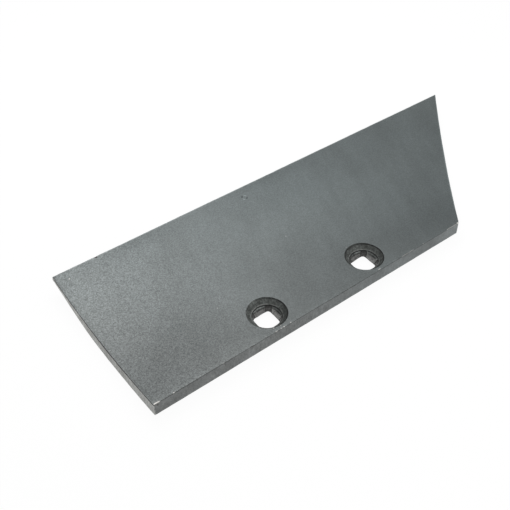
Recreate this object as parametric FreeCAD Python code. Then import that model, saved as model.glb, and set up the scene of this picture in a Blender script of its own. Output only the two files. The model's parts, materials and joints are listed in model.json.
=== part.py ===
import FreeCAD, Part
import math
import os

# A plough share: one forged steel plate with a long cutting edge, a shorter
# bolt edge, one end cut nearly square and the other cut back at a slant. The
# plate is rolled to a hollow top face, thinned underneath towards its cutting
# edge, and pierced by two countersunk square holes for plough bolts.
#
# While it is modelled, X runs along the bolt edge from the square end, Y runs
# across the plate from the bolt edge to the cutting edge, and Z = 0 is the
# straight chord between the two upper edges. Lengths are in millimetres.

# Plan
BOLT_EDGE_LENGTH = 303.0        # upper edge that butts on the mouldboard
CUTTING_EDGE_LENGTH = 426.0
CHORD_WIDTH = 140.5             # straight across, bolt edge to cutting edge
SQUARE_END_RAKE = 4.5           # the cutting corner stands this far past the bolt corner

# Section
THICKNESS = 11.5
HOLLOW_DEPTH = 5.8              # how far the top face sinks below its chord
LAND_THICKNESS = 4.0            # what the bevel leaves at the cutting edge
BEVEL_WIDTH = 50.0              # from the cutting edge to where the bevel starts
BEVEL_BLEND_RADIUS = 150.0      # soft forged start of the bevel
END_LEAN = 0.65                 # the sheared ends stand out this much at the bottom
BOLT_EDGE_ROUNDING = 1.0        # lower corner of the bolt edge
END_ROUNDING = 0.8              # lower corners of the two ends

# Bolt holes
BOLT_SPACING = 100.0
BOLT_FROM_SQUARE_END = 112.0    # first hole, from the square end's bolt corner
BOLT_INSET = 19.7               # from the bolt edge, along the chord
COUNTERSINK_DIAMETER = 31.6     # at the top face
COUNTERSINK_ANGLE = 90.0        # across the cone, as on a plough bolt's head
FLOOR_DIAMETER = 23.4           # where the cone ends
FLOOR_STEP = 0.5                # short upright wall below the cone
FLOOR_SLOPE = 42.0              # dished floor, in degrees below flat
MOUTH_FLAT_INSET = 0.9          # the neck's mouth is level with the cone's end: its flats lie
MOUTH_CORNER_INSET = 0.25       # this far inside the cone, and its rounded corners this far
SQUARE_SIDE = 15.0              # what the neck tapers to, to hold the bolt's square
SQUARE_CORNER_RADIUS = 2.2
SQUARE_LAND = 0.8               # straight length at the underside
SQUARE_DRIFT = 0.8              # how far the punch strays towards the cutting edge on its way down

# Room that cutting tools have past the plate's faces
OVERCUT = 20.0

# The top face is part of a cylinder whose axis runs along X.
HALF_CHORD = CHORD_WIDTH / 2
TOP_RADIUS = (HALF_CHORD ** 2 + HOLLOW_DEPTH ** 2) / (2 * HOLLOW_DEPTH)
UNDERSIDE_RADIUS = TOP_RADIUS + THICKNESS
EDGE_ANGLE = math.asin(HALF_CHORD / TOP_RADIUS)
BEND_AXIS = FreeCAD.Vector(0, HALF_CHORD, TOP_RADIUS - HOLLOW_DEPTH)
ALONG = FreeCAD.Vector(1, 0, 0)
UP = FreeCAD.Vector(0, 0, 1)


def on_section(angle, radius):
    """Point of the section at an angle from straight down, towards the cutting edge."""
    offset = FreeCAD.Vector(0, radius * math.sin(angle), -radius * math.cos(angle))
    return BEND_AXIS + offset


def section_angle(y):
    """Angle at which the top face passes over the given Y."""
    return math.asin((y - HALF_CHORD) / TOP_RADIUS)


def arc_between(start_angle, end_angle, radius):
    """Arc about the bend axis."""
    middle = on_section((start_angle + end_angle) / 2, radius)
    return Part.Arc(on_section(start_angle, radius), middle, on_section(end_angle, radius)).toShape()


def edges_near(shape, point, reach):
    """Edges of a shape whose nearest spot to the point is within reach."""
    marker = Part.Vertex(point)
    return [edge for edge in shape.Edges if edge.distToShape(marker)[0] < reach]


def rolled_bar():
    """Hollow bar of the share's section, longer than the share, with its bevel."""
    bevel_angle = math.asin((HALF_CHORD - BEVEL_WIDTH) / UNDERSIDE_RADIUS)
    bevel_start = on_section(bevel_angle, UNDERSIDE_RADIUS)
    land_bottom = on_section(EDGE_ANGLE, TOP_RADIUS + LAND_THICKNESS)
    section = Part.Wire([
        arc_between(-EDGE_ANGLE, EDGE_ANGLE, TOP_RADIUS),
        Part.makeLine(on_section(EDGE_ANGLE, TOP_RADIUS), land_bottom),
        Part.makeLine(land_bottom, bevel_start),
        arc_between(bevel_angle, -EDGE_ANGLE, UNDERSIDE_RADIUS),
        Part.makeLine(on_section(-EDGE_ANGLE, UNDERSIDE_RADIUS), on_section(-EDGE_ANGLE, TOP_RADIUS)),
    ])
    length = CUTTING_EDGE_LENGTH + 2 * OVERCUT
    bar = Part.Face(section).extrude(ALONG * length)
    bar.translate(ALONG * -(SQUARE_END_RAKE + OVERCUT))
    crease = edges_near(bar, bevel_start, 0.1)
    return bar.makeFillet(BEVEL_BLEND_RADIUS, crease)


def end_waste(bolt_corner, cutting_corner, outward):
    """Prism that a leaning shear cut takes off one end, past the line between two corners."""
    run = cutting_corner - bolt_corner
    run.normalize()
    depth = THICKNESS + HOLLOW_DEPTH + OVERCUT
    lean = END_LEAN / THICKNESS
    far = outward * (CUTTING_EDGE_LENGTH + OVERCUT)
    low = bolt_corner - UP * depth + outward * (lean * depth)
    high = bolt_corner + UP * depth - outward * (lean * depth)
    outline = Part.makePolygon([low, high, high + far, low + far, low])
    outline.translate(run * -OVERCUT)
    return Part.Face(outline).extrude(run * (bolt_corner.distanceToPoint(cutting_corner) + 2 * OVERCUT))


def trimmed_ends(bar):
    """The bar cut to the share's plan."""
    square_bolt_corner = FreeCAD.Vector(0, 0, 0)
    square_cutting_corner = FreeCAD.Vector(-SQUARE_END_RAKE, CHORD_WIDTH, 0)
    slant_bolt_corner = FreeCAD.Vector(BOLT_EDGE_LENGTH, 0, 0)
    slant_cutting_corner = square_cutting_corner + ALONG * CUTTING_EDGE_LENGTH
    square_run = square_cutting_corner - square_bolt_corner
    slant_run = slant_cutting_corner - slant_bolt_corner
    square_outward = UP.cross(square_run).normalize()
    slant_outward = slant_run.cross(UP).normalize()
    square_waste = end_waste(square_bolt_corner, square_cutting_corner, square_outward)
    slant_waste = end_waste(slant_bolt_corner, slant_cutting_corner, slant_outward)
    return bar.cut([square_waste, slant_waste]).Solids[0]


def mouth_size():
    """Side and corner radius of the neck's mouth, which stays inside the end of the cone."""
    half = FLOOR_DIAMETER / 2 - MOUTH_FLAT_INSET
    corner_reach = FLOOR_DIAMETER / 2 - MOUTH_CORNER_INSET
    return 2 * half, (math.sqrt(2) * half - corner_reach) / (math.sqrt(2) - 1)


def rounded_square(side, corner_radius, centre):
    """Level outline of a square with rounded corners."""
    flat = side / 2 - corner_radius
    edges = []
    for turn in range(4):
        corner = Part.makeCircle(corner_radius, FreeCAD.Vector(flat, flat, 0), UP, 0, 90)
        flank = Part.makeLine(FreeCAD.Vector(flat, side / 2, 0), FreeCAD.Vector(-flat, side / 2, 0))
        for edge in (corner, flank):
            edge.rotate(FreeCAD.Vector(0, 0, 0), UP, 90 * turn)
            edge.translate(centre)
            edges.append(edge)
    return Part.Wire(edges)


def bolt_hole_tool():
    """Countersink, dished floor and tapered square neck as one solid, top face at Z = 0."""
    rim = COUNTERSINK_DIAMETER / 2
    floor_rim = FLOOR_DIAMETER / 2
    cone_slope = math.tan(math.radians(COUNTERSINK_ANGLE / 2))
    cone_depth = (rim - floor_rim) / cone_slope
    floor_top = -cone_depth - FLOOR_STEP
    floor_tip = floor_top - floor_rim * math.tan(math.radians(FLOOR_SLOPE))
    profile = Part.makePolygon([
        FreeCAD.Vector(0, 0, floor_tip),
        FreeCAD.Vector(floor_rim, 0, floor_top),
        FreeCAD.Vector(floor_rim, 0, -cone_depth),
        FreeCAD.Vector(rim + OVERCUT * cone_slope, 0, OVERCUT),
        FreeCAD.Vector(0, 0, OVERCUT),
        FreeCAD.Vector(0, 0, floor_tip),
    ])
    countersink = Part.Face(profile).revolve(FreeCAD.Vector(0, 0, 0), UP, 360)
    mouth = rounded_square(*mouth_size(), UP * -cone_depth)
    land_centre = FreeCAD.Vector(0, SQUARE_DRIFT, SQUARE_LAND - THICKNESS)
    land = rounded_square(SQUARE_SIDE, SQUARE_CORNER_RADIUS, land_centre)
    neck = Part.makeLoft([mouth, land], True, True)
    straight = Part.Face(land).extrude(UP * -OVERCUT)
    return countersink.fuse([neck, straight])


def bolt_holes():
    """One tool for each bolt, square to the top face where it enters."""
    angle = section_angle(BOLT_INSET)
    holes = []
    for number in range(2):
        hole = bolt_hole_tool()
        hole.rotate(FreeCAD.Vector(0, 0, 0), ALONG, math.degrees(angle))
        along = BOLT_FROM_SQUARE_END + number * BOLT_SPACING
        hole.translate(on_section(angle, TOP_RADIUS) + ALONG * along)
        holes.append(hole)
    return holes


def distance_from_bend_axis(point):
    return math.hypot(point.y - BEND_AXIS.y, point.z - BEND_AXIS.z)


def clear_of_top_face(edge):
    return all(distance_from_bend_axis(vertex.Point) > TOP_RADIUS + 0.1 for vertex in edge.Vertexes)


def rounded_lower_corners(share):
    """Round the plate's lower corners along the bolt edge and both ends."""
    bolt_edge_foot = on_section(-EDGE_ANGLE, UNDERSIDE_RADIUS) + ALONG * (BOLT_EDGE_LENGTH / 2)
    share = share.makeFillet(BOLT_EDGE_ROUNDING, edges_near(share, bolt_edge_foot, 0.1))
    ends = [face for face in share.Faces if abs(face.normalAt(0, 0).dot(ALONG)) > 0.5]
    rims = [edge for end in ends for edge in end.Edges if clear_of_top_face(edge)]
    return share.makeFillet(END_ROUNDING, rims)


def plough_share():
    """The finished share, still in the frame that it was modelled in."""
    blank = rounded_lower_corners(trimmed_ends(rolled_bar()))
    return blank.cut(bolt_holes()).Solids[0]


def at_rest(share):
    """Roll the share about its bend until it balances, and stand it on Z = 0 about the origin."""
    centre = share.CenterOfMass
    roll = math.atan2(centre.y - BEND_AXIS.y, BEND_AXIS.z - centre.z)
    share.rotate(BEND_AXIS, ALONG, -math.degrees(roll))
    box = share.optimalBoundingBox(False)
    share.translate(FreeCAD.Vector(-box.Center.x, -box.Center.y, -box.ZMin))
    return share


os.makedirs("parts", exist_ok=True)
share = at_rest(plough_share())
share.exportStep("parts/plough_share.step")
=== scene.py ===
import bmesh
import bpy
import json
import math
import numpy as np
from mathutils import Matrix, Vector


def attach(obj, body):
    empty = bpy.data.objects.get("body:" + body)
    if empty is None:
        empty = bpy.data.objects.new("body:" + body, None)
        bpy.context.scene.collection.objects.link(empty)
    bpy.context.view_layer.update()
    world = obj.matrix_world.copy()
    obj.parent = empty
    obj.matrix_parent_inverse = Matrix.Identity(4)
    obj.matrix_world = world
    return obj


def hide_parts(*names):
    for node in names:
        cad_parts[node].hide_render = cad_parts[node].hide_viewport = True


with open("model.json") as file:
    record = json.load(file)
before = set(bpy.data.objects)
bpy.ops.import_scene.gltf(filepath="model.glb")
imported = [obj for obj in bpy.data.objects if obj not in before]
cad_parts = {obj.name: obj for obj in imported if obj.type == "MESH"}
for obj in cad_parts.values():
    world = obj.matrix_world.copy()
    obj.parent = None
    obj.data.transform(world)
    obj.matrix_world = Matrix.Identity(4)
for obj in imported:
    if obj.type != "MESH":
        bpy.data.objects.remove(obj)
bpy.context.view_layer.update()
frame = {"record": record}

# A plough share: one forged steel plate, rolled hollow, thinned underneath
# towards its cutting edge and pierced by two countersunk square holes.
#
# The plate is worked out in millimetres in the smith's frame: X runs along the
# bolt edge from the square end, Y across to the cutting edge, and Z = 0 is the
# chord between the two upper edges. laid_down() then puts it where the frame's
# first bolt hole is, in metres.

MM = 0.001

# Plan
BOLT_EDGE_LENGTH = 303.0
CUTTING_EDGE_LENGTH = 426.0
CHORD_WIDTH = 140.5
SQUARE_END_RAKE = 4.5

# Section
THICKNESS = 11.5
HOLLOW_DEPTH = 5.8
LAND_THICKNESS = 4.0
BEVEL_WIDTH = 50.0
BEVEL_BLEND_RADIUS = 150.0
END_LEAN = 0.65

# Edges
TOP_ROUNDING = 0.3
BOLT_EDGE_ROUNDING = 1.0
END_ROUNDING = 0.8
CUTTING_EDGE_ROUNDING = 0.4
BOLT_EDGE_RUN = 3.0
CUTTING_EDGE_RUN = 4.0
BOLT_CORNER_ROUNDING = 0.7
POINT_ROUNDING = 0.6

# Bolt holes
BOLT_SPACING = 100.0
BOLT_FROM_SQUARE_END = 112.0
BOLT_INSET = 19.7
COUNTERSINK_DIAMETER = 31.6
COUNTERSINK_SLOPE = 45.0
FLOOR_DIAMETER = 23.4
FLOOR_STEP = 0.5
FLOOR_SLOPE = 42.0
MOUTH_FLAT_INSET = 0.9
MOUTH_CORNER_INSET = 0.25
SQUARE_SIDE = 15.0
SQUARE_CORNER_RADIUS = 2.2
SQUARE_DRIFT = 0.8
BREAK_OUT = 1.0
BREAK_OUT_SPREAD = 0.8
RIM_EASE = 0.1
STEP_EASE = 0.06

# How finely the surfaces are divided
FINE_STEPS = np.array([0.0, 0.25, 0.55, 0.95, 1.5, 2.1])
BLOCK_HALF = 17.5
BLOCK_STEPS = 32
PLATE_STEP = 1.2
SLANT_COLUMNS = 88
WALL_SHARES = np.concatenate([[0, 0.03, 0.07, 0.12], np.linspace(0.2, 1, 7)])

# How far the slanted end runs along X for each millimetre across
SLANT = (CUTTING_EDGE_LENGTH - SQUARE_END_RAKE - BOLT_EDGE_LENGTH) / CHORD_WIDTH

# The top face is part of a cylinder whose axis runs along X.
HALF_CHORD = CHORD_WIDTH / 2
TOP_RADIUS = (HALF_CHORD ** 2 + HOLLOW_DEPTH ** 2) / (2 * HOLLOW_DEPTH)
UNDERSIDE_RADIUS = TOP_RADIUS + THICKNESS
EDGE_ANGLE = math.asin(HALF_CHORD / TOP_RADIUS)
ARC_WIDTH = 2 * TOP_RADIUS * EDGE_ANGLE
BEND_AXIS_HEIGHT = TOP_RADIUS - HOLLOW_DEPTH
HOLE_ANGLE = math.asin((BOLT_INSET - HALF_CHORD) / TOP_RADIUS)
HOLE_ACROSS = TOP_RADIUS * (HOLE_ANGLE + EDGE_ANGLE)
HOLES_ALONG = (BOLT_FROM_SQUARE_END, BOLT_FROM_SQUARE_END + BOLT_SPACING)
RIM_RADIUS = COUNTERSINK_DIAMETER / 2
FLOOR_RIM_RADIUS = FLOOR_DIAMETER / 2
CONE_DEPTH = (RIM_RADIUS - FLOOR_RIM_RADIUS) * math.tan(math.radians(COUNTERSINK_SLOPE))


# ---- the plate

def section_point(angle, radius):
    """Y and Z at an angle from straight down and a radius about the bend axis."""
    return HALF_CHORD + radius * np.sin(angle), BEND_AXIS_HEIGHT - radius * np.cos(angle)


def underside_radius(angle):
    """Radius of the underside at each angle: first the rolled arc, then a blend arc that is
    tangent to it, then the bevel's flat, whose radius is its distance from the bend axis
    over the cosine of the angle from its foot."""
    crease = math.asin((HALF_CHORD - BEVEL_WIDTH) / UNDERSIDE_RADIUS)
    start = UNDERSIDE_RADIUS * np.array([math.sin(crease), -math.cos(crease)])
    land = (TOP_RADIUS + LAND_THICKNESS) * np.array([math.sin(EDGE_ANGLE), -math.cos(EDGE_ANGLE)])
    run = (land - start) / np.linalg.norm(land - start)
    outward = np.array([run[1], -run[0]])
    flat_distance = outward @ start
    flat_foot = math.atan2(outward[0], -outward[1])
    centre_radius = UNDERSIDE_RADIUS - BEVEL_BLEND_RADIUS
    centre_angle = flat_foot - math.acos((flat_distance - BEVEL_BLEND_RADIUS) / centre_radius)
    centre = centre_radius * np.array([math.sin(centre_angle), -math.cos(centre_angle)])
    blend_end = centre + BEVEL_BLEND_RADIUS * outward
    end_angle = math.atan2(blend_end[0], -blend_end[1])
    flat = flat_distance / np.cos(angle - flat_foot)
    across = centre_radius * np.sin(np.clip(angle, centre_angle, end_angle) - centre_angle)
    blend = centre_radius * np.cos(angle - centre_angle) + np.sqrt(BEVEL_BLEND_RADIUS ** 2 - across ** 2)
    return np.where(angle < centre_angle, UNDERSIDE_RADIUS, np.where(angle < end_angle, blend, flat))


def eased_corner(p, q, reach):
    """Rounds a plan corner. p and q are the distances from its two sides. Every L-shaped line
    of equal distance has its corner replaced by a parabola tangent to both legs: with m the
    nearer distance and r what is left of the reach, p = m + r((1 + s)/2)^2 and
    q = m + r((1 - s)/2)^2 for s from -1 to 1 along the line."""
    nearer = np.minimum(p, q)
    left = np.maximum(reach - nearer, 1e-9)
    s = (p - q) / left
    inside = np.abs(s) < 1
    s = np.clip(s, -1, 1)
    return (np.where(inside, nearer + left * ((1 + s) / 2) ** 2, p),
            np.where(inside, nearer + left * ((1 - s) / 2) ** 2, q))


def plan_rows():
    """Distances across the plate, along its top arc: fine at both edges, even in the holes' blocks."""
    reach = TOP_RADIUS * np.arcsin(np.linspace(-BLOCK_HALF, BLOCK_HALF, BLOCK_STEPS + 1) / TOP_RADIUS)
    block = HOLE_ACROSS + reach
    far_side = ARC_WIDTH - FINE_STEPS[-1]
    count = round((far_side - block[-1]) / (PLATE_STEP * 1.25))
    body = np.linspace(block[-1], far_side, count + 1)[1:]
    near_side = FINE_STEPS * (block[0] / (FINE_STEPS[-1] + 0.4))
    return np.concatenate([near_side, block, body, ARC_WIDTH - FINE_STEPS[-2::-1]])


def plan_columns():
    """Columns of the plate as three weights: a column's X is the first times the square end's X,
    plus the second times the slanted end's X, plus the third. Over the holes' blocks and between
    them the columns stand square to the bolt edge, and beyond they fan out to the two ends."""
    first = HOLES_ALONG[0] - BLOCK_HALF
    last = HOLES_ALONG[1] + BLOCK_HALF
    steps = np.arange(FINE_STEPS[-1] + PLATE_STEP, first, PLATE_STEP)
    square_share = np.concatenate([FINE_STEPS, steps]) / first
    run = BOLT_EDGE_LENGTH - last
    steps = np.linspace(FINE_STEPS[-1], run, SLANT_COLUMNS)[1:-1]
    slant_share = np.concatenate([FINE_STEPS, steps]) / run
    square = np.stack([1 - square_share, 0 * square_share, square_share * first], axis=1)
    slant = np.stack([0 * slant_share, 1 - slant_share, slant_share * last], axis=1)[::-1]
    one, two = (np.linspace(hole - BLOCK_HALF, hole + BLOCK_HALF, BLOCK_STEPS + 1) for hole in HOLES_ALONG)
    middle = np.linspace(one[-1], two[0], round((two[0] - one[-1]) / PLATE_STEP) + 1)[1:-1]
    upright = np.concatenate([one, middle, two])
    upright = np.stack([0 * upright, 0 * upright, upright], axis=1)
    return np.concatenate([square, upright, slant])


ROWS = plan_rows()
COLUMNS = plan_columns()


def edge_rounding(across):
    """Rounding of the lower edge round the plate, by the distance across it. Near both long
    edges it changes evenly from the ends' rounding to the edge's own."""
    stops = [0, BOLT_EDGE_RUN, ARC_WIDTH - CUTTING_EDGE_RUN, ARC_WIDTH]
    roundings = [BOLT_EDGE_ROUNDING, END_ROUNDING, END_ROUNDING, CUTTING_EDGE_ROUNDING]
    return np.interp(across, stops, roundings)


def end_positions(y, z):
    """X of the two sheared ends, which lean outwards below the chord: both are flat."""
    lean = END_LEAN / THICKNESS
    square_end = -SQUARE_END_RAKE * y / CHORD_WIDTH + lean * z
    slant_end = BOLT_EDGE_LENGTH + SLANT * y - lean * z * math.hypot(1, SLANT)
    return square_end, slant_end


def plate_points(column, row, drop, inset):
    """Points of the plate, by their column and row in the plan. drop gives their depth below the
    top face, from the distance across and the thickness there, and inset how far they stand in
    from the plate's sides, from the distance across."""
    across = ROWS[row]
    reach = TOP_RADIUS * math.asin(BLOCK_HALF / TOP_RADIUS)
    block_low, block_high = HOLE_ACROSS - reach, HOLE_ACROSS + reach
    inset_here = inset(across)
    kept = [inset(0.0), block_low, block_high, ARC_WIDTH - inset(ARC_WIDTH)]
    moved = np.interp(across, [0, block_low, block_high, ARC_WIDTH], kept)
    weights = COLUMNS[column]

    def placed(over):
        angle = over / TOP_RADIUS - EDGE_ANGLE
        y, z = section_point(angle, TOP_RADIUS + drop(over, underside_radius(angle) - TOP_RADIUS))
        return y, z, *end_positions(y, z)

    y, z, square_end, slant_end = placed(moved)
    x = (weights[..., 0] * (square_end + inset_here) + weights[..., 1] * (slant_end - inset_here)
         + weights[..., 2])
    from_square, from_slant = x - square_end, slant_end - x
    left_part = from_square < from_slant
    from_end = np.where(left_part, from_square, from_slant)
    from_end, moved = eased_corner(from_end, moved, BOLT_CORNER_ROUNDING)
    from_end, rest = eased_corner(from_end, ARC_WIDTH - moved, POINT_ROUNDING)
    y, z, square_end, slant_end = placed(ARC_WIDTH - rest)
    x = np.where(left_part, square_end + from_end, slant_end - from_end)
    return np.stack([x, y, z], axis=-1)


def quads_of_grid(first, rows, columns, closed=False):
    """Corner indices of the quads of a grid of points, row after row; closed joins the last
    column to the first."""
    r = np.arange(rows - 1)[:, None]
    c = np.arange(columns if closed else columns - 1)[None, :]
    following = (c + 1) % columns
    corners = [r * columns + c, r * columns + following, (r + 1) * columns + following, (r + 1) * columns + c]
    return first + np.stack(corners, axis=-1)


def in_hole_block(row, column):
    """True for the grid quads that a hole's own patch stands for."""
    upright = (COLUMNS[:, 0] == 0) & (COLUMNS[:, 1] == 0)
    first = int(np.argmax(upright))
    second = first + int(np.count_nonzero(upright)) - BLOCK_STEPS - 1

    def within(steps):
        return (steps >= 0) & (steps < BLOCK_STEPS)

    return within(row - len(FINE_STEPS)) & (within(column - first) | within(column - second))


def face_sheet(drop, inset, first, turned):
    """One broad face of the plate as a grid, without the holes' blocks."""
    row, column = np.meshgrid(np.arange(len(ROWS)), np.arange(len(COLUMNS)), indexing="ij")
    points = plate_points(column, row, drop, inset).reshape(-1, 3)
    quads = quads_of_grid(first, len(ROWS), len(COLUMNS))[~in_hole_block(row[:-1, :-1], column[:-1, :-1])]
    return points, quads[:, ::-1] if turned else quads


def border_indices():
    """Row and column indices once round the plate, anticlockwise seen from above."""
    rows, columns = len(ROWS), len(COLUMNS)
    row = np.concatenate([np.zeros(columns - 1, int), np.arange(rows - 1),
                          np.full(columns - 1, rows - 1), np.arange(rows - 1, 0, -1)])
    column = np.concatenate([np.arange(columns - 1), np.full(rows - 1, columns - 1),
                             np.arange(columns - 1, 0, -1), np.zeros(rows - 1, int)])
    return row, column


def side_ring(upper, wall, lower, inset_above=0.0, inset_below=0.0):
    """A ring of the plate's side as (drop, inset). The first three say how much of the upper
    rounding, the wall and the lower rounding lies above it, and the others how much of each
    rounding it is inset."""
    def drop(across, thick):
        rounding = edge_rounding(across)
        return TOP_ROUNDING * upper + (thick - rounding - TOP_ROUNDING) * wall + rounding * lower

    def inset(across):
        return TOP_ROUNDING * inset_above + edge_rounding(across) * inset_below

    return drop, inset


def side_rings():
    """A quarter round at the top, the sheared side, and a quarter round at the bottom."""
    rings = []
    for turn in np.radians([0, 30, 60]):
        rings.append(side_ring(1 - math.cos(turn), 0, 0, inset_above=1 - math.sin(turn)))
    for share in WALL_SHARES:
        rings.append(side_ring(1, share, 0))
    for turn in np.radians([18, 36, 54, 72, 90]):
        rings.append(side_ring(1, 1, math.sin(turn), inset_below=1 - math.cos(turn)))
    return rings


# ---- the bolt holes

def block_outline(radius):
    """The square block round a hole, at a radius about the bend axis, as points (along, across)
    about the hole's centre, anticlockwise from the corner nearest the square end."""
    steps = np.linspace(-BLOCK_HALF, BLOCK_HALF, BLOCK_STEPS + 1)[:-1]
    side = np.full(BLOCK_STEPS, BLOCK_HALF)
    along = np.concatenate([steps, side, -steps, -side])
    across = np.concatenate([-side, steps, side, -steps])
    return along, across * radius / TOP_RADIUS


def rounded_square_reach(direction, half, radius):
    """Distance from the centre to a rounded square in each direction: half the side over the
    cosine on the flats, and the far side of the corner's circle near the diagonals."""
    turn = np.abs((direction + math.pi / 4) % (math.pi / 2) - math.pi / 4)
    centre = half - radius
    from_diagonal = math.pi / 4 - turn
    reach = math.sqrt(2) * centre
    corner = reach * np.cos(from_diagonal) + np.sqrt(
        np.maximum(radius ** 2 - (reach * np.sin(from_diagonal)) ** 2, 0))
    return np.where(half * np.tan(turn) < centre, half / np.cos(turn), corner)


def neck_outline(direction, depth):
    """Points (along, across) of the punched neck at each depth. From its mouth, which stays
    inside the end of the cone, to the square, each direction's reach and the centre's place
    change evenly with the depth. Below the square the punch breaks out, and the reach grows
    with the power 1.5 of the depth, mostly towards the slanted end and the cutting edge."""
    half = FLOOR_RIM_RADIUS - MOUTH_FLAT_INSET
    corner_reach = FLOOR_RIM_RADIUS - MOUTH_CORNER_INSET
    radius = (math.sqrt(2) * half - corner_reach) / (math.sqrt(2) - 1)
    mouth = rounded_square_reach(direction, half, radius)
    square = rounded_square_reach(direction, SQUARE_SIDE / 2, SQUARE_CORNER_RADIUS)
    share = np.clip((depth - CONE_DEPTH) / (THICKNESS - BREAK_OUT - CONE_DEPTH), 0, 1)
    torn = np.clip((depth - THICKNESS + BREAK_OUT) / BREAK_OUT, 0, 1)
    spread = BREAK_OUT_SPREAD * np.maximum(np.cos(direction - math.pi / 4), 0)
    reach = mouth + (square - mouth) * share + spread * torn ** 1.5
    return reach * np.cos(direction), reach * np.sin(direction) + SQUARE_DRIFT * share


def floor_depth(along, across):
    """Depth of the dished floor of the countersink."""
    slope = math.tan(math.radians(FLOOR_SLOPE))
    return CONE_DEPTH + FLOOR_STEP + (FLOOR_RIM_RADIUS - np.hypot(along, across)) * slope


def top_height(across):
    """Height of the hollow top face over the plane square to the hole."""
    return TOP_RADIUS - np.sqrt(TOP_RADIUS ** 2 - across ** 2)


def underside_height(across):
    """Height of the rolled underside over the same plane."""
    return TOP_RADIUS - np.sqrt(UNDERSIDE_RADIUS ** 2 - across ** 2)


def hole_rings():
    """Rings of a bolt hole from the block's outline on the top face, down through the hole and
    out to the outline on the underside, each as (along, across, height, zone)."""
    along, across = block_outline(TOP_RADIUS)
    direction = np.arctan2(across, along)
    cosine, sine = np.cos(direction), np.sin(direction)
    rings = []

    def add(a, b, height, zone):
        rings.append((a, b, height + 0 * a, zone))

    def add_round(reach, height, zone):
        add(reach * cosine, reach * sine, height, zone)

    rim = np.full(len(direction), RIM_RADIUS)
    for _ in range(3):
        rim = RIM_RADIUS + top_height(rim * sine)
    outer = np.hypot(along, across)
    for share in np.linspace(0, 1, 9) ** 0.8:
        reach = outer + (rim + 3.5 * RIM_EASE - outer) * share
        add_round(reach, top_height(reach * sine), "rolled")
    add_round(rim + RIM_EASE, top_height(rim * sine) - 0.3 * RIM_EASE, "rolled")
    add_round(rim - RIM_EASE, top_height(rim * sine) - 2 * RIM_EASE, "countersink")
    for share in np.linspace(0.06, 0.95, 12):
        reach = rim + (FLOOR_RIM_RADIUS - rim) * share
        add_round(reach, (reach - RIM_RADIUS) * CONE_DEPTH / (RIM_RADIUS - FLOOR_RIM_RADIUS), "countersink")
    end = np.full(len(direction), FLOOR_RIM_RADIUS)
    add_round(end + STEP_EASE, -CONE_DEPTH - STEP_EASE, "countersink")
    add_round(end - STEP_EASE / 3, -CONE_DEPTH - FLOOR_STEP * 0.7, "countersink")

    # The neck starts where it meets the dished floor, found by trying again from each answer.
    shelf_depth = CONE_DEPTH + FLOOR_STEP + 0 * direction
    for _ in range(24):
        shelf_depth = floor_depth(*neck_outline(direction, shelf_depth))
    shelf_along, shelf_across = neck_outline(direction, shelf_depth)
    for share in np.linspace(0.04, 0.94, 8):
        a = end * cosine + (shelf_along - end * cosine) * share
        b = end * sine + (shelf_across - end * sine) * share
        add(a, b, -floor_depth(a, b), "floor")
    square_depth = THICKNESS - BREAK_OUT
    for share in np.linspace(0.06, 1, 12):
        depth = shelf_depth + (square_depth - shelf_depth) * share
        add(*neck_outline(direction, depth), -depth, "punched")
    foot_along, foot_across = neck_outline(direction, THICKNESS)
    foot = underside_height(foot_across)
    for share in (0.4, 0.75):
        torn_along, torn_across = neck_outline(direction, square_depth + BREAK_OUT * share)
        add(torn_along, torn_across, foot + BREAK_OUT * (1 - share), "punched")

    low_along, low_across = block_outline(UNDERSIDE_RADIUS)
    least = 0.04
    add(foot_along, foot_across, foot + 0.05, "punched")
    for share in least + (1 - least) * np.linspace(0, 1, 9) ** 1.2:
        a = foot_along + (low_along - foot_along) * share
        b = foot_across + (low_across - foot_across) * share
        add(a, b, underside_height(b), "underside")
    return rings


def hole_points(along_plate):
    """The points of one hole's rings, in the smith's frame, and the zones of the rings."""
    rings = hole_rings()
    a, b, h = (np.stack([ring[part] for ring in rings]) for part in range(3))
    top_y, top_z = section_point(HOLE_ANGLE, TOP_RADIUS)
    y = top_y + b * math.cos(HOLE_ANGLE) - h * math.sin(HOLE_ANGLE)
    z = top_z + b * math.sin(HOLE_ANGLE) + h * math.cos(HOLE_ANGLE)
    points = np.stack([along_plate + a, y, z], axis=-1).reshape(-1, 3)
    return points, [ring[3] for ring in rings]


# ---- one closed mesh

ZONES = ("rolled", "sheared", "countersink", "floor", "punched", "underside")


def share_surface():
    """All points and quads of the share, with the zone of every quad."""
    points, quads, zones = [], [], []
    count = 0

    def add(new_points, new_quads, new_zones):
        nonlocal count
        points.append(new_points)
        quads.append(new_quads)
        zones.append(new_zones)
        count += len(new_points)

    rings = side_rings()
    for level, turned, zone in ((rings[0], False, "rolled"), (rings[-1], True, "underside")):
        sheet, sheet_quads = face_sheet(*level, count, turned)
        add(sheet, sheet_quads, np.full(len(sheet_quads), ZONES.index(zone)))
    row, column = border_indices()
    side = np.concatenate([plate_points(column, row, *ring) for ring in rings])
    side_quads = quads_of_grid(count, len(rings), len(row), closed=True)[..., ::-1]
    zone_of_ring = np.full(len(rings) - 1, ZONES.index("sheared"))
    zone_of_ring[:1] = ZONES.index("rolled")
    zone_of_ring[-1:] = ZONES.index("underside")
    add(side, side_quads.reshape(-1, 4), np.repeat(zone_of_ring, len(row)))
    for hole in HOLES_ALONG:
        hole_part, ring_zones = hole_points(hole)
        around = len(hole_part) // len(ring_zones)
        hole_quads = quads_of_grid(count, len(ring_zones), around, closed=True)
        kinds = [ZONES.index(zone) for zone in ring_zones[1:]]
        add(hole_part, hole_quads.reshape(-1, 4), np.repeat(kinds, around))
    return np.concatenate(points), np.concatenate(quads), np.concatenate(zones)


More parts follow.
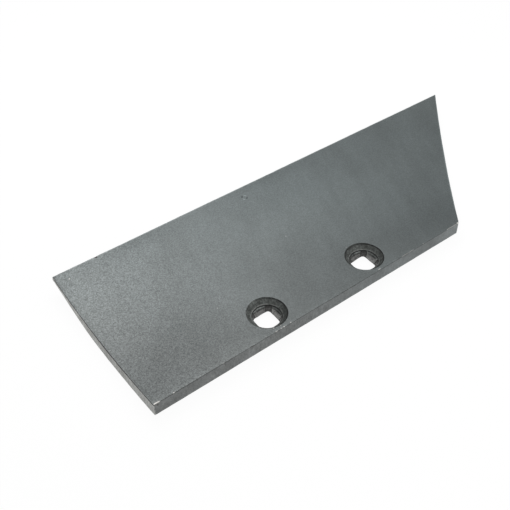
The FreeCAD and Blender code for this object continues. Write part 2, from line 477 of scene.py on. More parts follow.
HOLE_MOUNT = next(mount for mount in frame["record"]["mounts"] if mount["name"] == "bolt_hole_1")
HOLE_HERE = np.array([HOLES_ALONG[0], *section_point(HOLE_ANGLE, TOP_RADIUS)])


def roll_about_x():
    """Rotation that brings the first bolt hole's axis from the smith's frame to the frame's."""
    roll = math.atan2(-HOLE_MOUNT["axis"][1], HOLE_MOUNT["axis"][2]) - HOLE_ANGLE
    return np.array(Matrix.Rotation(roll, 3, "X"))


def laid_down(points):
    """From the smith's frame in millimetres to the frame's in metres."""
    return (points - HOLE_HERE) @ roll_about_x().T * MM + np.array(HOLE_MOUNT["pos_m"])


def taken_up(points):
    """Back from the frame in metres to the smith's frame in millimetres."""
    return (points - np.array(HOLE_MOUNT["pos_m"])) @ roll_about_x() / MM + HOLE_HERE


# ---- wear

# Dents as (along, across, depth below the top face, radius, depth of the dent, how bare). The
# first three are where a dent's middle lies on the plate, and bare below zero is a dark pit.
# The pit 2 mm down the side, under the scar, paints the shade beneath it.
SCAR_AT_BOLT_CORNER = (
    (1.4, 0.7, 0, 0.9, 0.35, 1), (2.8, 0.5, 0, 1, 0.45, 1.3), (4.2, 0.3, 0.1, 1, 0.45, 1.3),
    (5.4, 0.1, 0.2, 0.8, 0.3, 0.6), (3.2, -0.1, 2, 1.5, 0.2, -0.6), (0.2, 0.4, 5.5, 1.3, 0.3, -0.5),
    (0.4, 0.2, 8.6, 1.2, 0.3, -0.6),
)
NICKS_ALONG_BOLT_EDGE = (
    (17, 0.5, 0.1, 1, 0.3, 0.8), (38, 0.1, 0.2, 1.4, 0.25, -0.4), (58, 0.4, 0.2, 1, 0.35, 0.7),
    (83, 0.1, 0.2, 1.2, 0.2, 0.3), (152, 0.1, 0.2, 1.6, 0.25, -0.3), (243, 0.1, 0.2, 1.3, 0.2, 0.3),
    (260, 0.4, 0, 1, 0.2, 0.6), (268, 0.1, 0.3, 1.2, 0.25, -0.3), (302.2, 0.3, 0, 1.2, 0.4, 1.8),
)
NICKS_BY_BOLT_HOLES = (
    (97, 1.1, 0, 0.9, 0.15, 0.5), (106, 0.3, 0.2, 1.3, 0.4, 0.75), (106.2, 4.7, 0, 1.1, 0.15, 0.7),
    (110.4, 0.5, 0.1, 1, 0.3, 0.8), (112, 3.7, 0, 1.1, 0.15, 0.7), (113.2, 0.5, 0.1, 1.1, 0.35, 0.8),
    (119.3, 0.9, 0, 1, 0.2, 0.7), (209.8, 1.3, 0, 1, 0.2, 0.5), (211.4, 1.1, 0, 1, 0.25, 0.65),
)
NICKS_BY_CUTTING_EDGE = (
    (-4.5, 139, 0.4, 1.2, 0.4, 0.8), (5.4, 132.5, 0, 0.9, 0.1, 0.7), (6.8, 133.5, 0, 0.9, 0.1, 0.6),
    (31, 139.3, 0, 0.9, 0.1, 0.5), (32.8, 140.5, 0.1, 1.2, 0.35, -1.2), (190.5, 140.2, 0, 1, 0.12, 0.5),
)
SPOTS_ON_FACE = (
    (85, 46.5, 0, 1.1, 0.1, 0.5), (90, 51, 0, 1.2, 0.12, 0.4), (98, 102, 0, 1.2, 0.12, -0.5),
    (114, 83, 0, 1.3, 0.12, -0.5), (159.7, 114.5, 0, 1, 0.1, 0.4), (175, 76, 0, 1.2, 0.12, 0.5),
    (178, 64, 0, 1.1, 0.12, 0.4), (208, 37, 0, 1.1, 0.12, 0.45),
)
DENTS = (SCAR_AT_BOLT_CORNER + NICKS_ALONG_BOLT_EDGE + NICKS_BY_BOLT_HOLES + NICKS_BY_CUTTING_EDGE
         + SPOTS_ON_FACE)

# A small struck ring as (along, across, radius), and the depth and width of its groove
RING_MARK = (171.6, 130.0, 2.0)
RING_DEPTH = 0.08
RING_WIDTH = 0.9

# Burrs on the bolt edge's upper corner, bare metal with a painted glint, as (start, end, how bare)
BRIGHT_BURRS = ((235.0, 249.0, 0.41), (288.0, 302.0, 0.52))

# Broad areas of the top face, partly painted light and shade and partly the skin's own uneven brightness, as
# (along, across, reach along, reach across, how much lighter)
BROAD_LIGHT_AND_TONE = (
    (0, 108, 42, 44, 0.30), (14, 22, 28, 24, -0.15), (50, 38, 28, 34, -0.17), (66, 4, 22, 7, 0.10),
    (72, 139, 30, 10, -0.20), (212, 84, 62, 26, 0.18), (212, 140, 42, 9, -0.12), (235, 24, 40, 18, -0.06),
    (290, 16, 40, 22, -0.17), (315, 92, 26, 20, 0.10), (398, 137, 55, 14, 0.11),
)

# Painted highlight along the cutting edge and the slanted end: how much lighter, and how far in
PAINTED_EDGE_HIGHLIGHT = 0.7
PAINTED_EDGE_HIGHLIGHT_WIDTH = 0.8

# Uneven forging as layers of (height, size of the lumps), coarse to fine; how far in from the
# sides the edges' layers reach; the least wear anywhere; and the cells of a layer's lattice
SKIN_LAYERS = ((0.09, 34), (0.045, 11), (0.02, 4.5))
EDGE_LAYERS = ((0.10, 7.5), (0.10, 2.6))
HOLE_LAYERS = ((0.12, 6), (0.10, 2.5))
NECK_LAYERS = ((0.35, 5), (0.16, 2.2))
EDGE_REACH = 1.6
LEAST_WORN = 0.02
LATTICE = 29


def lumps(points, size, seed):
    """Smooth field between 0 and 1: seeded values on a cubic lattice with cells of the given
    size, blended across each cell by the smooth step 3t^2 - 2t^3."""
    lattice = np.random.default_rng(seed).random((LATTICE, LATTICE, LATTICE))
    cell = points / size
    corner = np.floor(cell).astype(int)
    t = cell - corner
    t = t * t * (3 - 2 * t)
    field = np.zeros(len(points))
    for step in np.ndindex(2, 2, 2):
        weight = np.prod(np.where(step, t, 1 - t), axis=1)
        i, j, k = ((corner + step) % LATTICE).T
        field += weight * lattice[i, j, k]
    return field


def unevenness(points, layers, first_seed):
    """Sum of layers of lumps, each times its own height."""
    seeds = range(first_seed, first_seed + len(layers))
    return sum(height * lumps(points, size, seed) for (height, size), seed in zip(layers, seeds))


def plate_coordinates(points):
    """Along, across and below the top face, in millimetres, for points of the smith's frame."""
    y, z = points[:, 1] - HALF_CHORD, BEND_AXIS_HEIGHT - points[:, 2]
    across = TOP_RADIUS * (np.arctan2(y, z) + EDGE_ANGLE)
    return np.stack([points[:, 0], across, np.hypot(y, z) - TOP_RADIUS], axis=1)


def from_the_edges(place):
    """Distance of each point from the nearest of the plate's four sides, along its faces."""
    y = HALF_CHORD + TOP_RADIUS * np.sin(place[:, 1] / TOP_RADIUS - EDGE_ANGLE)
    square_end = place[:, 0] + SQUARE_END_RAKE * y / CHORD_WIDTH
    slant_end = (BOLT_EDGE_LENGTH + SLANT * y - place[:, 0]) / math.hypot(1, SLANT)
    return np.maximum(np.minimum.reduce([square_end, slant_end, place[:, 1], ARC_WIDTH - place[:, 1]]), 0)


def in_holes(place):
    """True inside the bolt holes, below the top face."""
    away = [np.hypot(place[:, 0] - hole, place[:, 1] - HOLE_ACROSS) for hole in HOLES_ALONG]
    return (np.minimum(*away) < RIM_RADIUS + 0.5) & (place[:, 2] >= 0.05)


def dents(place):
    """How deep every point is dented, and how bare or pitted it is: each dent is a bell,
    exp(-(distance / radius)^2), and its bareness is that bell to the power 1.5."""
    depth = np.zeros(len(place))
    bare = np.zeros(len(place))
    for along, across, below, radius, amount, bareness in DENTS:
        bell = np.exp(-((place - (along, across, below)) ** 2).sum(axis=1) / radius ** 2)
        depth = np.maximum(depth, amount * bell)
        bare += bareness * bell ** 1.5
    return depth, np.clip(bare, -1, 1)


def tone_and_painted_light(place):
    """Brightness of the skin at every point: 1, a bell over each broad area that fades within the thickness,
    partly painted light and shade, and a painted highlight line along the cutting edge and the slanted end."""
    tones = np.ones(len(place))
    far_sides = (place[:, 0] > 10) & (place[:, 1] > 15) & (place[:, 2] < 1)
    # Painted highlight along the far edges, where their rounding turns away from the lamps.
    tones += PAINTED_EDGE_HIGHLIGHT * np.exp(-(from_the_edges(place) / PAINTED_EDGE_HIGHLIGHT_WIDTH) ** 2) * far_sides
    for along, across, reach_along, reach_across, lighter in BROAD_LIGHT_AND_TONE:
        squared = ((place[:, 0] - along) / reach_along) ** 2 + ((place[:, 1] - across) / reach_across) ** 2
        tones += lighter * np.exp(-squared - (place[:, 2] / 3) ** 2)
    return tones


def worn(points, normals):
    """The forged and worn skin: points moved inwards along their normals, never outwards. Also
    returns the bareness of every point and its place on the plate."""
    smith = taken_up(points)
    place = plate_coordinates(smith)
    near_edge = np.exp(-(from_the_edges(place) / EDGE_REACH) ** 2)
    inside = in_holes(place)
    in_neck = np.clip((place[:, 2] - CONE_DEPTH) / 3, 0, 1) * inside
    inward = LEAST_WORN + unevenness(smith, SKIN_LAYERS, 1)
    inward += unevenness(smith, EDGE_LAYERS, 4) * near_edge * ~inside
    inward += unevenness(smith, HOLE_LAYERS, 6) * inside
    inward += unevenness(smith, NECK_LAYERS, 8) * in_neck
    dent, bare = dents(place)
    ring = np.hypot(place[:, 0] - RING_MARK[0], place[:, 1] - RING_MARK[1]) - RING_MARK[2]
    dent += RING_DEPTH * np.exp(-(ring / RING_WIDTH) ** 2) * (place[:, 2] < 1)
    upper_corner = (place[:, 1] < 0.65) & (place[:, 2] < 0.35)
    for start, end, bareness in BRIGHT_BURRS:
        burr = upper_corner & (place[:, 0] > start) & (place[:, 0] < end)
        bare = np.where(burr, np.maximum(bare, bareness), bare)
    return points - normals * ((inward + dent) * MM)[:, None], bare, place


def closed_mesh(name, points, quads, zones):
    """A mesh of quads whose coincident border points are merged into one closed skin. The zone
    of each quad is its material."""
    mesh = bpy.data.meshes.new(name)
    mesh.from_pydata(points, [], quads)
    mesh.polygons.foreach_set("material_index", zones.astype(np.int32))
    skin = bmesh.new()
    skin.from_mesh(mesh)
    bmesh.ops.remove_doubles(skin, verts=skin.verts, dist=1e-6)
    skin.to_mesh(mesh)
    skin.free()
    mesh.polygons.foreach_set("use_smooth", np.ones(len(mesh.polygons), bool))
    mesh.update()
    return mesh


def put_attribute(mesh, name, kind, values):
    """Stores a value or a vector at every vertex, for the materials."""
    attribute = mesh.attributes.new(name, kind, "POINT")
    attribute.data.foreach_set("vector" if kind == "FLOAT_VECTOR" else "value", values.ravel())


def add_object(name, data):
    """Puts a new object with the given data in the scene."""
    made = bpy.data.objects.new(name, data)
    bpy.context.scene.collection.objects.link(made)
    return made


def make_share():
    """The share in its worn state, with the attributes that its materials read."""
    points, quads, zones = share_surface()
    mesh = closed_mesh("plough_share_forging", laid_down(points), quads, zones)
    even, normals = np.empty((2, len(mesh.vertices) * 3))
    mesh.vertices.foreach_get("co", even)
    mesh.vertex_normals.foreach_get("vector", normals)
    skin, bare, place = worn(even.reshape(-1, 3), normals.reshape(-1, 3))
    mesh.vertices.foreach_set("co", skin.ravel())
    put_attribute(mesh, "bare", "FLOAT", bare)
    put_attribute(mesh, "place", "FLOAT_VECTOR", place)
    put_attribute(mesh, "tone_and_painted_light", "FLOAT", tone_and_painted_light(place))
    mesh.update()
    return add_object("plough_share_forging", mesh)


# ---- materials

# Colours of the steel, its scale and rust, and of painted shade and a painted glint
ROLLED_LIGHT = (0.208, 0.229, 0.229)
ROLLED_DARK = (0.186, 0.204, 0.203)
UNDERSIDE_LIGHT = (0.190, 0.195, 0.185)
UNDERSIDE_DARK = (0.150, 0.152, 0.142)
PALE_FLECK = (0.34, 0.35, 0.34)
DARK_SPECK = (0.07, 0.07, 0.065)
# Near-white of bare metal at dents and burrs: a painted glint of their facets, lighter than bare steel
# itself.
BARE_METAL_GLINT = (0.93, 0.91, 0.87)
# Dark colour of pits: painted shade under the bolt corner's scar, dark spots elsewhere.
PIT_DARK = (0.045, 0.042, 0.038)
SHEARED_LIGHT = (0.290, 0.304, 0.302)
SHEARED_DARK = (0.225, 0.234, 0.230)
EDGE_SHADE_LINE = (0.022, 0.022, 0.021)
RUST = (0.085, 0.065, 0.050)
PAINTED_SHADE = (0.014, 0.015, 0.014)
CONE_LIGHT = (0.150, 0.162, 0.155)
CONE_DARK = (0.066, 0.072, 0.067)
FLOOR_LIGHT = (0.262, 0.282, 0.273)
FLOOR_DARK = (0.106, 0.115, 0.110)
BURNISH_AND_HIGHLIGHT = (0.36, 0.37, 0.36)
# Light neck colours: partly bare punched metal, partly painted light from the white floor below.
LIT_NECK_LIGHT = (0.42, 0.42, 0.41)
LIT_NECK_DARK = (0.26, 0.26, 0.255)
NECK_UPPER_DARK = (0.095, 0.098, 0.093)
CORNER_SHADE = (0.045, 0.043, 0.042)

# Tints that a colour is multiplied by
NO_TINT = (1.0, 1.0, 1.0)
ROLLED_WARM = (1.028, 1.0, 0.995)
ROLLED_COOL = (0.967, 1.0, 1.01)
SHEARED_WARM = (1.03, 1.0, 0.975)
SHEARED_COOL = (0.965, 1.0, 1.015)

# Sizes of the grain, and the pitch of the tool's marks in the countersink
PEBBLE_SIZE = 1.3
GRAIN_SIZE = 0.8
TOOL_MARK_PITCH = 1.5

# Directions along and across, from a bolt hole to the slanted end's bolt corner and to its point
TO_BOLT_CORNER = (0.79, -0.62)
TO_POINT = (0.62, 0.79)


def give(tree, socket, value):
    """Links a field to an input, or sets a plain value there."""
    if isinstance(value, bpy.types.NodeSocket):
        tree.links.new(value, socket)
    else:
        socket.default_value = value


def add_node(tree, kind, inputs=None, **settings):
    """Adds a shader node with its settings, and gives its inputs their fields and values."""
    made = tree.nodes.new("ShaderNode" + kind)
    for key, value in settings.items():
        setattr(made, key, value)
    for key, value in (inputs or {}).items():
        give(tree, made.inputs[key], value)
    return made


class Shader:
    """One material's nodes. Every field that a method returns is an output socket."""

    def __init__(self, name):
        self.material = bpy.data.materials.new(name)
        self.material.use_nodes = True
        self.tree = self.material.node_tree
        self.surface = self.tree.nodes["Principled BSDF"]
        where = self.node("TexCoord").outputs["Object"]
        scale = (1 / MM, 1 / MM, 1 / MM)
        self.millimetres = self.node("VectorMath", {0: where, 1: scale}, operation="MULTIPLY").outputs[0]

    def node(self, kind, inputs=None, **settings):
        return add_node(self.tree, kind, inputs, **settings)

    def put(self, name, value):
        """Gives an input of the surface its field or value."""
        give(self.tree, self.surface.inputs[name], value)

    def noise(self, size, detail=2.0, roughness=0.55, longer=None, turn=0.0):
        """Soft random field whose lumps are about the given size in millimetres. longer draws
        them out along X, Y and Z, after a turn about Z in degrees."""
        where = self.millimetres
        if longer:
            turned = (0, 0, math.radians(turn))
            where = self.node("Mapping", {"Vector": where, "Rotation": turned, "Scale": longer},
                              vector_type="TEXTURE").outputs[0]
        return self.node("TexNoise", {"Vector": where, "Scale": 1 / size, "Detail": detail,
                                      "Roughness": roughness}).outputs["Fac"]

    def grains(self, size):
        """A random value for each grain of the given size."""
        cells = self.node("TexVoronoi", {"Vector": self.millimetres, "Scale": 1 / size})
        return self.node("SeparateColor", {0: cells.outputs["Color"]}).outputs[0]

    def pebbles(self, size):
        """Distance to the nearest of many spots, packed over X and Y about the given size apart,
        as a share of that size."""
        cells = self.node("TexVoronoi", {"Vector": self.millimetres, "Scale": 1 / size,
                                         "Randomness": 0.8}, voronoi_dimensions="2D")
        return cells.outputs["Distance"]

    def spread(self, value, low, high, to_low=0.0, to_high=1.0):
        """Carries a field evenly from one range to another, and holds it at both ends."""
        return self.node("MapRange", {"Value": value, "From Min": low, "From Max": high,
                                      "To Min": to_low, "To Max": to_high}).outputs["Result"]

    def band(self, value, start, end, soft):
        """1 between start and end, fading to 0 over the soft width outside them."""
        return self.times(self.spread(value, start - soft, start), self.spread(value, end + soft, end))

    def maths(self, operation, a, b=0.0):
        return self.node("Math", {0: a, 1: b}, operation=operation).outputs[0]

    def times(self, product, *others):
        """Product of fields and numbers."""
        for other in others:
            product = self.maths("MULTIPLY", product, other)
        return product

    def blend(self, factor, a, b, how="MIX"):
        """Mixes two colours by a factor, or joins them in another way."""
        made = self.node("Mix", {"Factor": factor}, data_type="RGBA", blend_type=how)
        for socket, colour in ((made.inputs[6], a), (made.inputs[7], b)):
            give(self.tree, socket, (*colour, 1) if isinstance(colour, tuple) else colour)
        return made.outputs[2]

    def shaded(self, colour, brightness):
        """The colour times a brightness."""
        grey = self.node("CombineColor", {0: brightness, 1: brightness, 2: brightness}).outputs[0]
        return self.blend(1.0, colour, grey, "MULTIPLY")

    def attribute(self, name):
        return self.node("Attribute", attribute_name=name).outputs

    def plate_place(self):
        """Along, across and below the top face, in millimetres."""
        return self.node("SeparateXYZ", {0: self.attribute("place")["Vector"]}).outputs

    def hole_distance(self):
        """Distance from the axis of the nearer bolt hole, in millimetres."""
        flat = self.node("VectorMath", {0: self.attribute("place")["Vector"], 1: (1, 1, 0)},
                         operation="MULTIPLY").outputs[0]
        away = [self.node("VectorMath", {0: flat, 1: (hole, HOLE_ACROSS, 0)},
                          operation="DISTANCE").outputs["Value"] for hole in HOLES_ALONG]
        return self.maths("MINIMUM", *away)

    def from_hole(self):
        """How far along and across each place is from the middle of the nearer punched square."""
        along, across, _ = self.plate_place()
        half = BOLT_SPACING / 2
        shifted = self.maths("ADD", along, half - BOLT_FROM_SQUARE_END + BOLT_SPACING)
        u = self.maths("SUBTRACT", self.maths("MODULO", shifted, BOLT_SPACING), half)
        return u, self.maths("SUBTRACT", across, HOLE_ACROSS + SQUARE_DRIFT / 2)

    def off_diagonal(self):
        """Zero along both diagonals of the punched squares, and growing on either side: the
        difference between the distances along and across, without its sign."""
        u, v = self.from_hole()
        difference = self.maths("SUBTRACT", self.maths("ABSOLUTE", u), self.maths("ABSOLUTE", v))
        return self.maths("ABSOLUTE", difference)

    def towards(self, direction):
        """Distance from the middle of the nearer punched square, in a direction."""
        u, v = self.from_hole()
        return self.maths("ADD", self.times(u, direction[0]), self.times(v, direction[1]))

    def by_hole(self, first, second):
        """One value in the first bolt hole and another in the second."""
        along = self.plate_place()[0]
        return self.spread(along, HOLES_ALONG[0] + RIM_RADIUS, HOLES_ALONG[1] - RIM_RADIUS, first, second)

    def ring_light_and_shade(self):
        """Painted light and shade of the small ring struck into the top face: a painted highlight on two
        opposite arcs, where the product of the offsets along and across is positive, and painted shade on the
        other two."""
        along, across, below = self.plate_place()
        u = self.maths("SUBTRACT", along, RING_MARK[0])
        v = self.maths("SUBTRACT", across, RING_MARK[1])
        away = self.maths("SQRT", self.maths("ADD", self.times(u, u), self.times(v, v)))
        ring = self.band(away, RING_MARK[2] - 0.4, RING_MARK[2] + 0.4, 0.4)
        strength = self.spread(below, 3, 1, 0.0, 0.28)
        return self.maths("ADD", self.times(ring, strength, u, v), 1.0)

    def bump(self, *layers):
        """Relief from pairs of a height field and its full height in millimetres."""
        normal = None
        for field, height in layers:
            made = self.node("Bump", {"Height": field, "Distance": height * MM, "Strength": 1.0})
            if normal:
                give(self.tree, made.inputs["Normal"], normal)
            normal = made.outputs[0]
        self.put("Normal", normal)

    def with_wear_and_glint(self, colour, roughness, metallic):
        """Bare metal where a dent is bare, painted near-white as the glint of its facets; a dark colour where
        it is a pit, which under the bolt corner's scar is painted shade; and elsewhere the given colour and
        finish."""
        bare = self.attribute("bare")["Fac"]
        bright = self.spread(bare, 0.25, 0.75)
        dark = self.spread(bare, -0.15, -0.6)
        colour = self.blend(dark, self.blend(bright, colour, BARE_METAL_GLINT), PIT_DARK)
        self.put("Base Color", colour)
        self.put("Roughness", self.spread(bright, 0, 1, roughness, 0.38))
        self.put("Metallic", self.spread(bright, 0, 1, metallic, 0.3))


def rolled_steel(name, light, dark):
    """Dull blue-grey rolled skin: cloudy and mottled, with faint marks across the plate and a sandy grain
    that is strongest near the square end, where its raised contrast is partly a painted sheen. Its brightness
    attribute adds painted light and shade over broad areas and along the far edges, and the struck ring adds
    its painted light and shade."""
    s = Shader(name)
    along, across, _ = s.plate_place()
    clouds = s.spread(s.noise(46, detail=3), 0.35, 0.65)
    tint = s.blend(s.spread(s.maths("ADD", along, across), 60, 330), ROLLED_WARM, ROLLED_COOL)
    colour = s.blend(1.0, s.blend(clouds, dark, light), tint, "MULTIPLY")
    streaks = s.spread(s.noise(9, roughness=0.5, longer=(1, 7, 1), turn=-19), 0.3, 0.7, 0.965, 1.035)
    # Grain contrast fades away from the square end: partly real grain, partly painted sheen.
    strength = s.times(s.spread(along, 40, 125, 1.0, 0.5), s.spread(along, 125, 280, 1.0, 0.8))
    mottle = s.spread(s.noise(7, detail=3), 0.3, 0.7, 0.97, 1.03)
    sand = s.spread(s.pebbles(PEBBLE_SIZE), 0.1, 0.7, 1.16, 0.84)
    grit = s.spread(s.grains(GRAIN_SIZE), 0, 1, 0.76, 1.24)
    grain = s.spread(strength, 0, 1, 1.0, s.times(mottle, sand, grit))
    # The brightness attribute carries painted light and shade over broad areas and a painted highlight along
    # the far edges; the struck ring adds its own painted light and shade.
    colour = s.shaded(colour, s.times(grain, streaks, s.attribute("tone_and_painted_light")["Fac"], s.ring_light_and_shade()))
    fleck = s.spread(s.noise(1.5, roughness=0.6), 0.66, 0.74)
    colour = s.blend(s.times(fleck, strength, 0.07), colour, PALE_FLECK)
    speck = s.spread(s.noise(1.9, roughness=0.6), 0.34, 0.27)
    colour = s.blend(s.times(speck, strength, 0.07), colour, DARK_SPECK)
    s.with_wear_and_glint(colour, roughness=0.5, metallic=0.7)
    s.bump((s.times(s.noise(1.0, detail=1), strength), 0.05), (s.noise(6), 0.06))
    return s.material


def sheared_steel():
    """Grey cut faces, mottled, with painted light on the square end that stands in for a lamp from the left,
    and a painted shade line under the top edge that reaches deepest halfway across the end."""
    s = Shader("sheared_edge")
    along, across, below = s.plate_place()
    on_end = s.spread(along, 1.0, 0)
    clouds = s.spread(s.noise(13, detail=4, roughness=0.6), 0.35, 0.65)
    streaks = s.spread(s.noise(2.2, detail=3, roughness=0.6, longer=(1, 1, 3)), 0.3, 0.7, 0.82, 1.18)
    sand = s.spread(s.grains(GRAIN_SIZE), 0, 1, 0.85, 1.15)
    strength = s.spread(along, 150, 300, 1.0, 0.35)
    uneven = s.spread(strength, 0, 1, 1.0, s.times(streaks, sand))
    # Painted light: the square end is 2.3 times lighter, standing in for a lamp from the left; the bands near
    # the slanted end and at 80 to 100 across lighten it further.
    paler_and_lit = s.times(s.spread(on_end, 0, 1, 1.03, 2.3), s.spread(along, 270, 300, 1.0, 1.15),
                    s.spread(across, 80, 100, 1.0, 1.15))
    colour = s.shaded(s.blend(clouds, SHEARED_DARK, SHEARED_LIGHT), s.times(paler_and_lit, uneven))
    tint = s.blend(s.spread(along, 120, 200), NO_TINT, SHEARED_COOL)
    colour = s.blend(1.0, colour, s.blend(on_end, tint, SHEARED_WARM), "MULTIPLY")
    rust = s.spread(s.noise(4.2, detail=3, roughness=0.65), 0.62, 0.72)
    colour = s.blend(s.times(rust, s.spread(along, 100, 220, 0.4, 0.1)), colour, RUST)
    # Painted shade line under the top edge, where the rolled-over edge turns dark; widest on the square end.
    deep = s.spread(s.band(across, 45, 70, 32), 0, 1, 1.15, 2.1)
    under = s.maths("SUBTRACT", below, s.spread(on_end, 0, 1, 0.8, deep))
    line = s.times(s.spread(under, 0.3, -0.3), s.spread(on_end, 0, 1, 0.62, 0.96))
    s.with_wear_and_glint(s.blend(line, colour, EDGE_SHADE_LINE), roughness=0.68, metallic=0.25)
    s.bump((s.noise(1.1, roughness=0.7), 0.10), (s.noise(4, detail=3), 0.2))
    return s.material


def forge_scale(name, light, dark):
    """A shader with the crumbly scale of the bolt holes, and its colour."""
    s = Shader(name)
    clouds = s.spread(s.noise(5, detail=4, roughness=0.65), 0.35, 0.65)
    crumbs = s.spread(s.noise(1.5, detail=3, roughness=0.75), 0.3, 0.7, 0.4, 1.6)
    s.bump((s.noise(1.2, detail=3, roughness=0.7), 0.22), (s.noise(3.5, detail=3), 0.3))
    return s, s.shaded(s.blend(clouds, dark, light), crumbs)


def countersink_scale():
    """Scaled cone with painted shade and light on its sides, a painted shade line under its rim, a ring at
    its end that is part burnish and part painted highlight, and painted shade in the step.
    """
    s, colour = forge_scale("countersink_scale", CONE_LIGHT, CONE_DARK)
    away = s.hole_distance()
    side = s.towards(TO_BOLT_CORNER)
    # Painted light and shade: the cone's side towards the slanted end's bolt corner is darker, and its far
    # side towards the point lighter, by how light falls into the hole.
    colour = s.shaded(colour, s.spread(side, 2, 13, s.by_hole(1.18, 0.82), 0.6))
    nearer = s.by_hole(0.88, 0.82)
    farther = s.by_hole(1.15, 1.42)
    colour = s.shaded(colour, s.spread(s.towards(TO_POINT), -10, 12, nearer, farther))
    # Light ring at the cone's end: part burnish, part painted highlight of the edge, weaker on the darker
    # side.
    ring = s.band(away, FLOOR_RIM_RADIUS + 0.05, FLOOR_RIM_RADIUS + 0.55, 0.2)
    patchy = s.spread(s.noise(2.6), 0.4, 0.6, 0.2, 0.95)
    colour = s.blend(s.times(ring, patchy, s.spread(side, -4, 8, 1.0, 0.5)), colour, BURNISH_AND_HIGHLIGHT)
    # Painted shade line just under the rim, strongest on one side.
    rim = s.spread(away, RIM_RADIUS - 1.0, RIM_RADIUS - 0.7)
    patchy = s.spread(s.noise(4), 0.35, 0.5, 0.6, 1.0)
    rim_shade = s.spread(side, -12, 2, s.by_hole(0.1, 0.7), 0.9)
    colour = s.blend(s.times(rim, patchy, rim_shade), colour, PAINTED_SHADE)
    # Painted shade in the step at the cone's end.
    step = s.spread(away, FLOOR_RIM_RADIUS + 0.04, FLOOR_RIM_RADIUS, 0.0, 0.65)
    s.with_wear_and_glint(s.blend(step, colour, PAINTED_SHADE), roughness=0.75, metallic=0.15)
    return s.material


def punch_marks(s, colour):
    """Paints shade into the four corners of a punched square, with a painted shade line on both sides of each
    and a light flank, part burnish and part painted highlight, beyond it towards the slanted end."""
    apart = s.off_diagonal()
    # Painted shade in the steep corners and a painted shade line along their edges.
    colour = s.blend(s.spread(apart, 3.1, 2.5, 0.0, 0.7), colour, CORNER_SHADE)
    colour = s.blend(s.times(s.band(apart, 2.7, 3.2, 0.4), 0.7), colour, PAINTED_SHADE)
    # Light flank beside each corner, towards the slanted end: part burnish, part painted highlight.
    flank = s.times(s.band(apart, 4.0, 4.8, 0.4), s.spread(s.towards(TO_BOLT_CORNER), 0.5, 1.5))
    return s.blend(s.times(flank, s.by_hole(0.2, 0.85)), colour, BURNISH_AND_HIGHLIGHT)


def floor_scale():
    """Scaled floor with rings left by the tool, painted shade and light on its sides, and painted shade where
    it meets the step.
    """
    s, colour = forge_scale("floor_scale", FLOOR_LIGHT, FLOOR_DARK)
    away = s.hole_distance()
    side = s.towards(TO_BOLT_CORNER)
    # Painted light and shade: in the second hole one side of the floor is darker and the other lighter, by
    # how light falls into the hole; the first hole is lighter throughout.
    colour = s.shaded(colour, s.by_hole(1.12, s.spread(side, -8, 2, 0.70, 1.35)))
    rings = s.maths("SINE", s.times(away, 2 * math.pi / TOOL_MARK_PITCH))
    colour = s.shaded(colour, s.spread(rings, -1, 1, 0.4, 1.6))
    # Painted shade on the floor's side towards the slanted end's bolt corner.
    colour = punch_marks(s, s.shaded(colour, s.spread(side, -3, 9, 1.0, 0.45)))
    # Painted shade where the floor meets the step.
    foot = s.spread(away, FLOOR_RIM_RADIUS - 0.6, FLOOR_RIM_RADIUS - 0.3, 0.0, 0.6)
    s.with_wear_and_glint(s.blend(foot, colour, PAINTED_SHADE), roughness=0.75, metallic=0.15)
    return s.material


def punched_wall():
    """Walls of the square: dark above, and light in their lower half, partly bare punched metal and partly
    painted light from the white floor below; one side is painted lighter.
    """
    s, colour = forge_scale("punched_wall", LIT_NECK_LIGHT, LIT_NECK_DARK)
    uneven = s.spread(s.noise(3), 0.3, 0.7, -0.3, 0.3)
    upper_dark = s.spread(s.maths("ADD", s.plate_place()[2], uneven), 7.2, 6.7, 0.0, 0.85)
    # Painted light: the side towards the slanted end's bolt corner is up to 1.3 times lighter.
    lighter = s.spread(s.towards(TO_BOLT_CORNER), -2, 4, 1.0, 1.3)
    colour = s.shaded(s.blend(upper_dark, colour, NECK_UPPER_DARK), lighter)
    colour = punch_marks(s, s.shaded(colour, s.by_hole(1.0, 0.88)))
    s.with_wear_and_glint(colour, roughness=0.6, metallic=0.15)
    return s.material


MATERIALS = {
    "rolled": rolled_steel("rolled_face", ROLLED_LIGHT, ROLLED_DARK),
    "sheared": sheared_steel(),
    "countersink": countersink_scale(),
    "floor": floor_scale(),
    "punched": punched_wall(),
    "underside": rolled_steel("underside_face", UNDERSIDE_LIGHT, UNDERSIDE_DARK),
}

share = make_share()
for zone in ZONES:
    share.data.materials.append(MATERIALS[zone])
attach(share, "root")
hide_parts("plough_share")


# ---- studio

def floor_paint():
    """Matt white that lights the share from below. Seen by the camera or in a reflection it is
    nearly plain white, and only a little of the share's shadow stays."""
    material = bpy.data.materials.new("studio_paper")
    material.use_nodes = True
    tree = material.node_tree
    tree.nodes.clear()
    rays = add_node(tree, "LightPath").outputs
    view = add_node(tree, "Math", {0: rays["Is Camera Ray"], 1: rays["Is Glossy Ray"]}, operation="MAXIMUM")
    paper = add_node(tree, "BsdfDiffuse", {"Color": (0.8, 0.8, 0.8, 1)})
    faint = add_node(tree, "BsdfDiffuse", {"Color": (0.08, 0.08, 0.08, 1)})
    glow = add_node(tree, "Emission", {"Strength": 0.95})
    seen = add_node(tree, "AddShader", {0: glow.outputs[0], 1: faint.outputs[0]})
    paint = add_node(tree, "MixShader", {0: view.outputs[0], 1: paper.outputs[0], 2: seen.outputs[0]})
    add_node(tree, "OutputMaterial", {"Surface": paint.outputs[0]})
    return material


def make_floor():
    size = 4.0
    corners = [(-size, -size, 0), (size, -size, 0), (size, size, 0), (-size, size, 0)]
    mesh = bpy.data.meshes.new("studio_floor")
    mesh.from_pydata(corners, [], [(0, 1, 2, 3)])
    mesh.materials.append(floor_paint())
    floor = add_object("studio_floor", mesh)


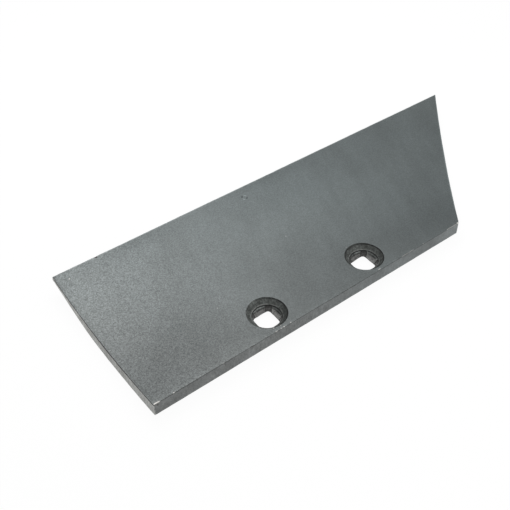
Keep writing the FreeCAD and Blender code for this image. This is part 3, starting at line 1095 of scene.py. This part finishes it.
def soft_box(name, place, size, power):
    """A square lamp that faces the share."""
    lamp = bpy.data.lights.new(name, "AREA")
    lamp.shape = "SQUARE"
    lamp.size = size
    lamp.energy = power
    box = add_object(name, lamp)
    box.location = place
    box.rotation_euler = (-box.location).to_track_quat("-Z", "Y").to_euler()


def make_sky(strength):
    """Even light from all round, which the camera sees as plain white."""
    world = bpy.data.worlds.new("studio")
    bpy.context.scene.world = world
    world.use_nodes = True
    tree = world.node_tree
    soft = tree.nodes["Background"]
    soft.inputs["Color"].default_value = (1, 1, 1, 1)
    soft.inputs["Strength"].default_value = strength
    white = add_node(tree, "Background", {"Color": (1, 1, 1, 1)})
    rays = add_node(tree, "LightPath").outputs
    sky = add_node(tree, "MixShader", {0: rays["Is Camera Ray"], 1: soft.outputs[0], 2: white.outputs[0]})
    tree.links.new(sky.outputs[0], tree.nodes["World Output"].inputs["Surface"])


# The camera stands in the smith's frame, so that it keeps its view of the plate.
CAMERA_PLACE = (-109.33, -228.618, 432.688)
CAMERA_AZIMUTH = -39.7224
CAMERA_ELEVATION = 48.2114
CAMERA_ROLL = 3.7619
CAMERA_LENS = 51.04
CAMERA_SHIFT = 0.00098


def make_camera():
    """Stands at its place, looks back along the azimuth and elevation, and is rolled a little."""
    az, el, roll = (math.radians(v) for v in (CAMERA_AZIMUTH, CAMERA_ELEVATION, CAMERA_ROLL))
    back = Vector((math.sin(az) * math.cos(el), -math.cos(az) * math.cos(el), math.sin(el)))
    level = Vector((math.cos(az), math.sin(az), 0))
    upright = back.cross(level)
    right = level * math.cos(roll) + upright * math.sin(roll)
    up = upright * math.cos(roll) - level * math.sin(roll)
    data = bpy.data.cameras.new("camera")
    data.lens = CAMERA_LENS
    data.sensor_width = 36.0
    data.shift_x = -CAMERA_SHIFT
    data.shift_y = CAMERA_SHIFT
    cam = add_object("camera", data)
    turn = Matrix(roll_about_x()) @ Matrix((right, up, back)).transposed()
    cam.matrix_world = Matrix.Translation(laid_down(np.array(CAMERA_PLACE))) @ turn.to_4x4()
    bpy.context.scene.camera = cam


make_floor()
soft_box("key_softbox", (0.0, 0.3, 0.6), size=0.32, power=1.2)
soft_box("top_softbox", (0.35, 0.1, 0.7), size=0.4, power=0.5)
soft_box("front_softbox", (0.3, -0.6, 0.35), size=0.32, power=0.45)
make_sky(strength=0.375)
make_camera()
bpy.context.scene.view_settings.view_transform = "Standard"
